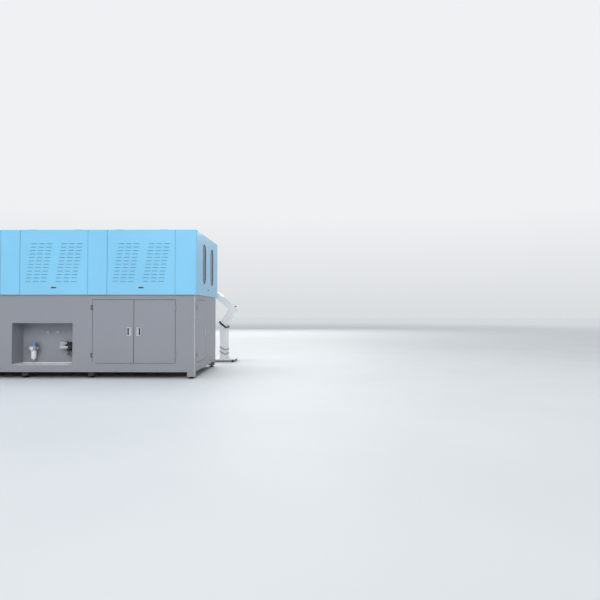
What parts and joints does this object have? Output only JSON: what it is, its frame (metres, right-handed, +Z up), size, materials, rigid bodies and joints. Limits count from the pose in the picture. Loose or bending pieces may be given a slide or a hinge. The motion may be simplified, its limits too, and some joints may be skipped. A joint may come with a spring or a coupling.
{
  "type": "blow moulding machine",
  "caption": "Enclosed stretch blow moulding machine with lift-up covers, base cabinet, oven, chain, clamp and a separate operator console.",
  "frame": {"origin": "centre of the floor area covered by the machine and its console, on the floor", "axes": "+Z up, +X along the machine towards its aisle end, +Y from its back to the operator side"},
  "size_m": [4.224, 2.795, 2.1],
  "materials": {
    "grey_paint": "semi-gloss powder coat",
    "blue_paint": "gloss powder coat",
    "white_paint": "gloss powder coat",
    "black_paint": "satin paint",
    "tank_paint": "satin paint",
    "steel": "machined",
    "mould": "machined",
    "zinc": "zinc plated",
    "chrome": "polished",
    "brass": "machined",
    "gear": "matte",
    "black_plastic": "matte",
    "blue_plastic": "matte",
    "red_plastic": "gloss",
    "green_plastic": "gloss",
    "bowl": "translucent white",
    "gauge": "gloss",
    "window": "dark tinted sheet",
    "preform": "clear moulded plastic",
    "lamp": "quartz tube",
    "screen": "glossy glass front",
    "cable": "matte sheath"
  },
  "bodies": {
    "machine": {"base_frame": "grey_paint", "cross_rails": "grey_paint", "levelling_feet": "zinc", "back_panel": "grey_paint", "base_panels": "grey_paint", "machine_table": "black_paint", "service_recess": "grey_paint", "filter_regulator": "steel", "filter_bowl": "bowl", "air_fittings": "brass", "air_receiver": "tank_paint", "control_gear": "gear", "fixed_hinges": "black_paint", "guard_frame": "black_paint", "guard_strips": "blue_paint", "roof_panel": "blue_paint", "operator_beam": "blue_paint", "pressure_gauges": "gauge", "chain_track": "steel", "track_posts": "steel", "preform_chain": "brass", "preforms": "preform", "oven_housing": "black_paint", "oven_lamps": "lamp", "clamp_frame": "steel", "stretch_portal": "black_paint", "transfer_rail": "black_paint", "console_column": "white_paint", "console_screen": "screen", "console_cable": "cable"},
    "cover_a": {"louvre_cover_a": "blue_paint"},
    "cover_b": {"louvre_cover_b": "blue_paint"},
    "plain_cover": {"plain_cover": "blue_paint"},
    "end_cover": {"end_cover": "blue_paint", "end_windows": "window"},
    "back_door_left": {"back_door_left": "grey_paint", "back_latch_left": "chrome"},
    "back_door_right": {"back_door_right": "grey_paint", "back_latch_right": "chrome"},
    "back_paddle_left": {"back_paddle_left": "chrome"},
    "back_paddle_right": {"back_paddle_right": "chrome"},
    "end_door": {"end_door": "grey_paint"},
    "end_paddle": {"end_paddle": "chrome"},
    "operator_door_left": {"operator_door_left": "grey_paint"},
    "operator_door_right": {"operator_door_right": "grey_paint"},
    "operator_paddle_left": {"operator_paddle_left": "chrome"},
    "operator_paddle_right": {"operator_paddle_right": "chrome"},
    "filter_knob": {"filter_knob": "blue_plastic"},
    "valve_lever": {"valve_lever": "black_plastic"},
    "pressure_knob_top": {"pressure_knob_top": "black_plastic"},
    "pressure_knob_middle": {"pressure_knob_middle": "black_plastic"},
    "pressure_knob_bottom": {"pressure_knob_bottom": "black_plastic"},
    "chain_wheel_left": {"chain_wheel_left": "steel"},
    "chain_wheel_right": {"chain_wheel_right": "steel"},
    "mould_back": {"mould_half_back": "mould"},
    "mould_front": {"mould_half_front": "mould"},
    "stretch_head": {"stretch_head": "steel"},
    "transfer_carriage": {"transfer_carriage": "brass"},
    "emergency_stop": {"emergency_stop": "red_plastic"},
    "start_button": {"start_button": "green_plastic"}
  },
  "joints": [
    {"name": "cover_a_lift", "type": "hinge", "parent": "machine", "child": "cover_a", "pos_m": [-0.122, -1.366, 2.095], "axis": [1, 0, 0], "range_deg": [-85, 0]},
    {"name": "cover_b_lift", "type": "hinge", "parent": "machine", "child": "cover_b", "pos_m": [1.108, -1.366, 2.095], "axis": [1, 0, 0], "range_deg": [-85, 0]},
    {"name": "plain_cover_lift", "type": "hinge", "parent": "machine", "child": "plain_cover", "pos_m": [-1.352, -1.366, 2.095], "axis": [1, 0, 0], "range_deg": [-85, 0]},
    {"name": "end_cover_lift", "type": "hinge", "parent": "machine", "child": "end_cover", "pos_m": [1.8615, -0.5425, 2.095], "axis": [0, 1, 0], "range_deg": [-85, 0]},
    {"name": "back_door_left_hinge", "type": "hinge", "parent": "machine", "child": "back_door_left", "pos_m": [0.4185, -1.3715, 0.663], "axis": [0, 0, 1], "range_deg": [-110, 0]},
    {"name": "back_door_right_hinge", "type": "hinge", "parent": "machine", "child": "back_door_right", "pos_m": [1.5885, -1.3715, 0.663], "axis": [0, 0, 1], "range_deg": [0, 110]},
    {"name": "back_paddle_left_pivot", "type": "hinge", "parent": "back_door_left", "child": "back_paddle_left", "pos_m": [0.956, -1.3645, 0.66], "axis": [0, 0, 1], "range_deg": [0, 35]},
    {"name": "back_paddle_right_pivot", "type": "hinge", "parent": "back_door_right", "child": "back_paddle_right", "pos_m": [1.051, -1.3645, 0.66], "axis": [0, 0, 1], "range_deg": [-35, 0]},
    {"name": "end_door_hinge", "type": "hinge", "parent": "machine", "child": "end_door", "pos_m": [1.867, -1.242, 0.663], "axis": [0, 0, 1], "range_deg": [-110, 0]},
    {"name": "end_paddle_pivot", "type": "hinge", "parent": "end_door", "child": "end_paddle", "pos_m": [1.86, -0.6065, 0.66], "axis": [0, 0, 1], "range_deg": [0, 35]},
    {"name": "operator_door_left_hinge", "type": "hinge", "parent": "machine", "child": "operator_door_left", "pos_m": [1.034, 0.2865, 0.663], "axis": [0, 0, 1], "range_deg": [-110, 0]},
    {"name": "operator_door_right_hinge", "type": "hinge", "parent": "machine", "child": "operator_door_right", "pos_m": [-0.012, 0.2865, 0.663], "axis": [0, 0, 1], "range_deg": [0, 110]},
    {"name": "operator_paddle_left_pivot", "type": "hinge", "parent": "operator_door_left", "child": "operator_paddle_left", "pos_m": [0.5585, 0.2795, 0.66], "axis": [0, 0, 1], "range_deg": [0, 35]},
    {"name": "operator_paddle_right_pivot", "type": "hinge", "parent": "operator_door_right", "child": "operator_paddle_right", "pos_m": [0.4635, 0.2795, 0.66], "axis": [0, 0, 1], "range_deg": [-35, 0]},
    {"name": "filter_knob_turn", "type": "hinge", "parent": "machine", "child": "filter_knob", "pos_m": [-0.519, -1.1505, 0.475], "axis": [0, 0, 1], "range_deg": [0, 300]},
    {"name": "valve_lever_turn", "type": "hinge", "parent": "machine", "child": "valve_lever", "pos_m": [-0.064, -1.2015, 0.43], "axis": [0, 1, 0], "range_deg": [0, 90]},
    {"name": "pressure_knob_top_turn", "type": "hinge", "parent": "machine", "child": "pressure_knob_top", "pos_m": [1.783, 0.3225, 1.948], "axis": [0, 1, 0], "range_deg": [0, 300]},
    {"name": "pressure_knob_middle_turn", "type": "hinge", "parent": "machine", "child": "pressure_knob_middle", "pos_m": [1.783, 0.3225, 1.798], "axis": [0, 1, 0], "range_deg": [0, 300]},
    {"name": "pressure_knob_bottom_turn", "type": "hinge", "parent": "machine", "child": "pressure_knob_bottom", "pos_m": [1.783, 0.3225, 1.648], "axis": [0, 1, 0], "range_deg": [0, 300]},
    {"name": "chain_wheel_right_spin", "type": "hinge", "parent": "machine", "child": "chain_wheel_right", "pos_m": [0.038, -0.5925, 1.29], "axis": [0, 0, 1], "continuous": true},
    {"name": "chain_wheel_left_spin", "type": "hinge", "parent": "machine", "child": "chain_wheel_left", "pos_m": [-1.412, -0.5925, 1.29], "axis": [0, 0, 1], "continuous": true},
    {"name": "mould_back_slide", "type": "slide", "parent": "machine", "child": "mould_back", "axis": [0, 1, 0], "range_m": [-0.12, 0]},
    {"name": "mould_front_slide", "type": "slide", "parent": "machine", "child": "mould_front", "axis": [0, 1, 0], "range_m": [0, 0.12]},
    {"name": "stretch_head_slide", "type": "slide", "parent": "machine", "child": "stretch_head", "axis": [0, 0, 1], "range_m": [-0.038, 0]},
    {"name": "transfer_slide", "type": "slide", "parent": "machine", "child": "transfer_carriage", "axis": [1, 0, 0], "range_m": [0, 0.5]},
    {"name": "emergency_stop_push", "type": "slide", "parent": "machine", "child": "emergency_stop", "axis": [-0.6428, 0, -0.766], "range_m": [0, 0.004], "stiffness_N_per_m": 600, "springref_m": -0.003},
    {"name": "start_button_push", "type": "slide", "parent": "machine", "child": "start_button", "axis": [-0.6428, 0, -0.766], "range_m": [0, 0.004], "stiffness_N_per_m": 400, "springref_m": -0.003}
  ],
  "couplings": [
    {"joint": "chain_wheel_left_spin", "follows": "chain_wheel_right_spin", "ratio": 1},
    {"joint": "mould_front_slide", "follows": "mould_back_slide", "ratio": -1}
  ]
}
